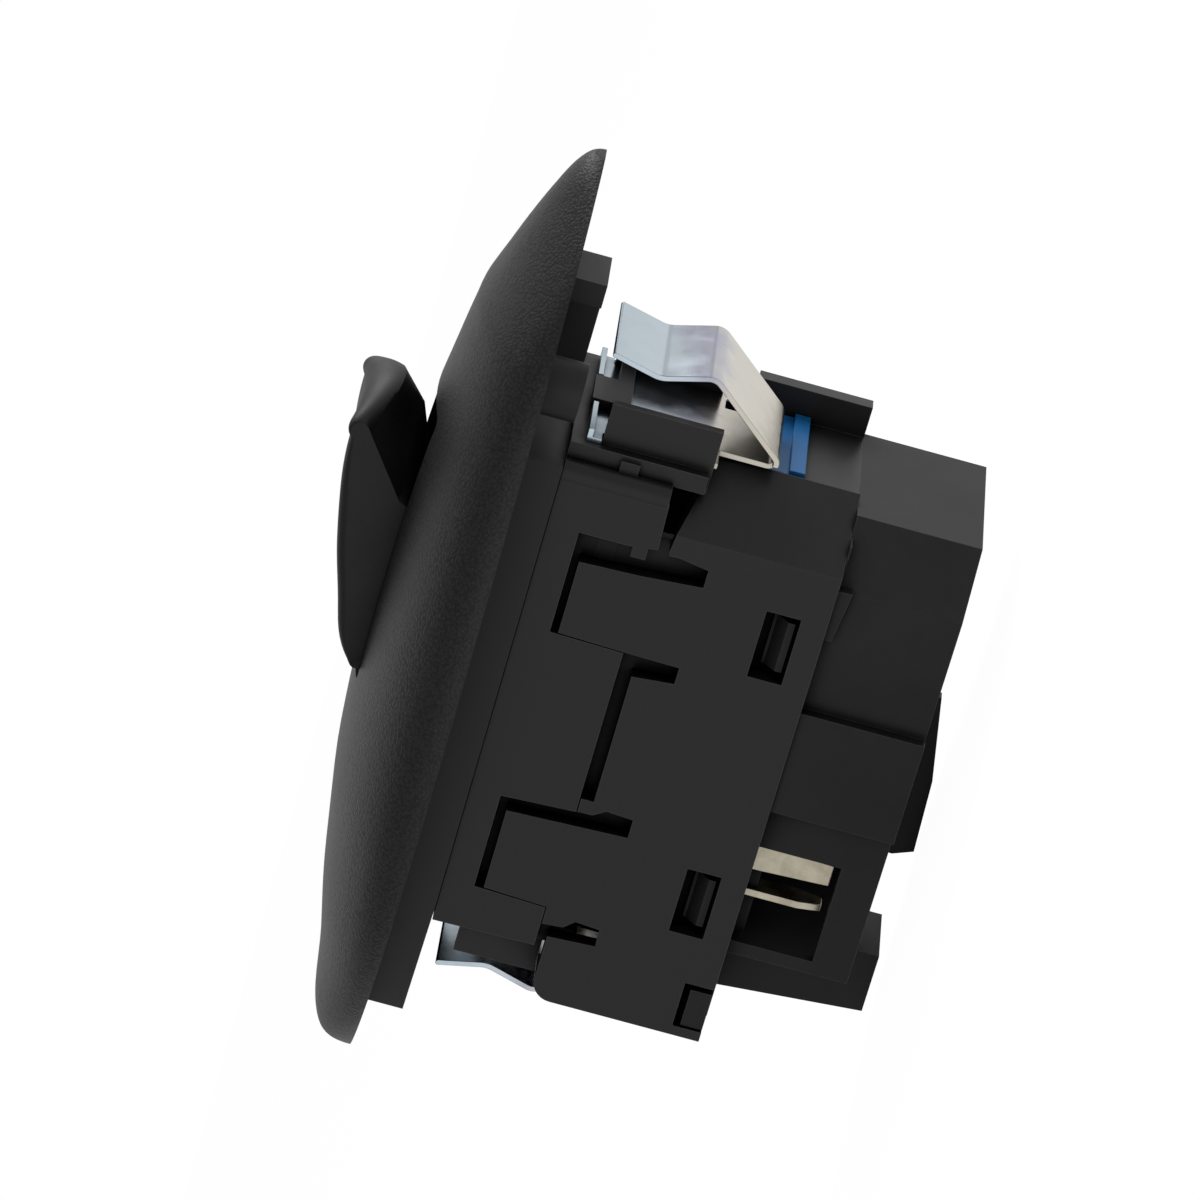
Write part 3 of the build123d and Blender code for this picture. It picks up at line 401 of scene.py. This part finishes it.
# Acetal in its natural colour, moulded smooth: a waxy off-white, clouded in patches of 2.5 mm.
acetal, tree = new_material("natural_acetal")
place = add(tree, "ShaderNodeTexCoord").outputs["Object"]
cloud = add(tree, "ShaderNodeTexNoise", Vector=place, Scale=0.4 * per_mm, Detail=3.0)
tone = add(tree, "ShaderNodeValToRGB", Fac=cloud.outputs[0])
tone.color_ramp.elements[0].color = linear("#dcdad2")
tone.color_ramp.elements[1].color = linear("#ece9e1")
bump = add(tree, "ShaderNodeBump", Strength=0.1, Distance=0.02 * millimetre, Height=cloud.outputs[0])
gloss = add(tree, "ShaderNodeMapRange", Value=cloud.outputs[0], To_Min=0.35, To_Max=0.45)
skin = add(tree, "ShaderNodeBsdfPrincipled", Base_Color=tone.outputs[0], Roughness=gloss.outputs[0],
           IOR=1.48, Normal=bump.outputs[0])
add(tree, "ShaderNodeOutputMaterial", Surface=skin.outputs[0])
finished_piece("plunger_down", acetal, "push_rod_down", 0.15)
finished_piece("plunger_up", acetal, "push_rod_up", 0.15)


# Rocker pin and return springs: the pin is a length of drawn rod held in the carrier's ears, and each
# spring is coiled from drawn wire round its plunger. The springs keep their solid's own mesh.

# Drawn steel: bright grey metal with fine lines 0.17 mm apart from the die, stretched over 7 mm.
drawn, tree = new_material("drawn_steel")
place = add(tree, "ShaderNodeTexCoord").outputs["Object"]
lines = add(tree, "ShaderNodeMapping", Vector=place, Scale=(6.0 * per_mm, 0.15 * per_mm, 6.0 * per_mm))
drag = add(tree, "ShaderNodeTexNoise", Vector=lines.outputs[0], Scale=1.0, Detail=3.0)
tone = add(tree, "ShaderNodeValToRGB", Fac=drag.outputs[0])
tone.color_ramp.elements[0].color = linear("#9a9c9e")
tone.color_ramp.elements[1].color = linear("#c8cacc")
bump = add(tree, "ShaderNodeBump", Strength=0.15, Distance=0.01 * millimetre, Height=drag.outputs[0])
gloss = add(tree, "ShaderNodeMapRange", Value=drag.outputs[0], To_Min=0.2, To_Max=0.38)
skin = add(tree, "ShaderNodeBsdfPrincipled", Base_Color=tone.outputs[0], Metallic=1.0,
           Roughness=gloss.outputs[0], Normal=bump.outputs[0])
add(tree, "ShaderNodeOutputMaterial", Surface=skin.outputs[0])
finished_piece("rocker_pin", drawn, "housing", 0.0)
for node in ("return_spring_down", "return_spring_up"):
    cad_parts[node].data.materials.clear()
    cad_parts[node].data.materials.append(drawn)


# Spring clips: folded strips of hardened spring steel that snap behind the panel's edge. Stamped, bent
# and then plated; a moulded bar between the carrier's guards holds each one down.

# Zinc plate with a thin blue passivation film: a bright mirror that is warm grey low down and turns
# violet and then pale blue towards the cover, clouded in patches of 4 mm, with rolling lines 0.38 mm
# apart in the bump. Painted shade darkens the folds, and the colour is darker within 0.13 mm of an edge.
plated, tree = new_material("zinc_plated_spring_steel")
place = add(tree, "ShaderNodeTexCoord").outputs["Object"]
rolled = add(tree, "ShaderNodeMapping", Vector=place, Scale=(0.22 * per_mm, 2.6 * per_mm, 0.22 * per_mm))
lines = add(tree, "ShaderNodeTexNoise", Vector=rolled.outputs[0], Scale=1.0, Detail=3.0)
cloud = add(tree, "ShaderNodeTexNoise", Vector=place, Scale=0.26 * per_mm, Detail=4.0, Roughness=0.6)
height_z = add(tree, "ShaderNodeSeparateXYZ", Vector=place).outputs["Z"]
drift = add(tree, "ShaderNodeMath", {"operation": "MULTIPLY_ADD"}, i0=cloud.outputs[0],
            i1=6.0 * millimetre, i2=height_z)
film = add(tree, "ShaderNodeMapRange", Value=drift.outputs[0], From_Min=-24.0 * millimetre,
           From_Max=-2.0 * millimetre)
tone = add(tree, "ShaderNodeValToRGB", Fac=film.outputs[0])
stops = tone.color_ramp.elements
stops[0].position = 0.1
stops[0].color = linear("#bdb7ab")
stops[1].position = 0.95
stops[1].color = linear("#a8b6be")
for share, code in ((0.36, "#bfbab0"), (0.5, "#a3a5b4"), (0.62, "#b4bdc6")):
    stops.new(share).color = linear(code)
bump = add(tree, "ShaderNodeBump", Strength=0.1, Distance=0.01 * millimetre, Height=lines.outputs[0])
gloss = add(tree, "ShaderNodeMapRange", Value=cloud.outputs[0], From_Min=0.3, From_Max=0.7, To_Min=0.14,
            To_Max=0.27)
# Painted shade in the folds, and a darker colour within 0.13 mm of an edge.
fold_shade_and_dark_edges = add(tree, "ShaderNodeMath", {"operation": "MULTIPLY"}, i0=painted_recess_shade(tree, 6.0, 0.2, 0.7, 0.08),
           i1=edge_line(tree, 0.13, 1.0, 0.35))
colour = add(tree, "ShaderNodeVectorMath", {"operation": "SCALE"}, i0=tone.outputs[0],
             Scale=fold_shade_and_dark_edges.outputs[0])
skin = add(tree, "ShaderNodeBsdfPrincipled", Base_Color=colour.outputs[0], Metallic=1.0,
           Roughness=gloss.outputs[0], Normal=bump.outputs[0])
add(tree, "ShaderNodeOutputMaterial", Surface=skin.outputs[0])
finished_piece("spring_clip_top", plated, "housing", 0.06)
finished_piece("spring_clip_bottom", plated, "housing", 0.06)


# Terminal lock: the blue bar that keeps the blades in the base, pushed in from the end.
# Moulded PBT, coloured so that a missing one is noticed on the line.

# PBT with blue pigment, moulded smooth: a deep even blue, clouded in patches of 3 mm.
blue, tree = new_material("blue_pbt")
place = add(tree, "ShaderNodeTexCoord").outputs["Object"]
cloud = add(tree, "ShaderNodeTexNoise", Vector=place, Scale=0.3 * per_mm, Detail=4.0)
tone = add(tree, "ShaderNodeValToRGB", Fac=cloud.outputs[0])
tone.color_ramp.elements[0].color = linear("#0f5892")
tone.color_ramp.elements[1].color = linear("#176ba9")
bump = add(tree, "ShaderNodeBump", Strength=0.12, Distance=0.02 * millimetre, Height=cloud.outputs[0])
gloss = add(tree, "ShaderNodeMapRange", Value=cloud.outputs[0], To_Min=0.32, To_Max=0.45)
skin = add(tree, "ShaderNodeBsdfPrincipled", Base_Color=tone.outputs[0], Roughness=gloss.outputs[0],
           IOR=1.5, Specular_IOR_Level=0.25, Normal=bump.outputs[0])
add(tree, "ShaderNodeOutputMaterial", Surface=skin.outputs[0])
finished_piece("terminal_lock", blue, "housing", 0.1)


# Terminals and contact bridges: the six blades that the plug slides onto, and the bars that the
# plungers press down to join them. Stamped from brass strip; the blades are pressed into the base.

# Tin plate on brass, dipped and dulled: a warm grey metal, clouded in patches of 3 mm.
tinned, tree = new_material("tinned_brass")
place = add(tree, "ShaderNodeTexCoord").outputs["Object"]
cloud = add(tree, "ShaderNodeTexNoise", Vector=place, Scale=0.33 * per_mm, Detail=5.0, Roughness=0.6)
tone = add(tree, "ShaderNodeValToRGB", Fac=cloud.outputs[0])
stops = tone.color_ramp.elements
stops[0].position = 0.3
stops[0].color = linear("#8f8878")
stops[1].position = 0.7
stops[1].color = linear("#bdb6a4")
bump = add(tree, "ShaderNodeBump", Strength=0.15, Distance=0.01 * millimetre, Height=cloud.outputs[0])
gloss = add(tree, "ShaderNodeMapRange", Value=cloud.outputs[0], From_Min=0.3, From_Max=0.7, To_Min=0.24,
            To_Max=0.4)
skin = add(tree, "ShaderNodeBsdfPrincipled", Base_Color=tone.outputs[0], Metallic=1.0,
           Roughness=gloss.outputs[0], Normal=bump.outputs[0])
add(tree, "ShaderNodeOutputMaterial", Surface=skin.outputs[0])
for number in range(1, 7):
    finished_piece("terminal_" + str(number), tinned, "housing", 0.06)
finished_piece("contact_bridge_down", tinned, "push_rod_down", 0.06)
finished_piece("contact_bridge_up", tinned, "push_rod_up", 0.06)
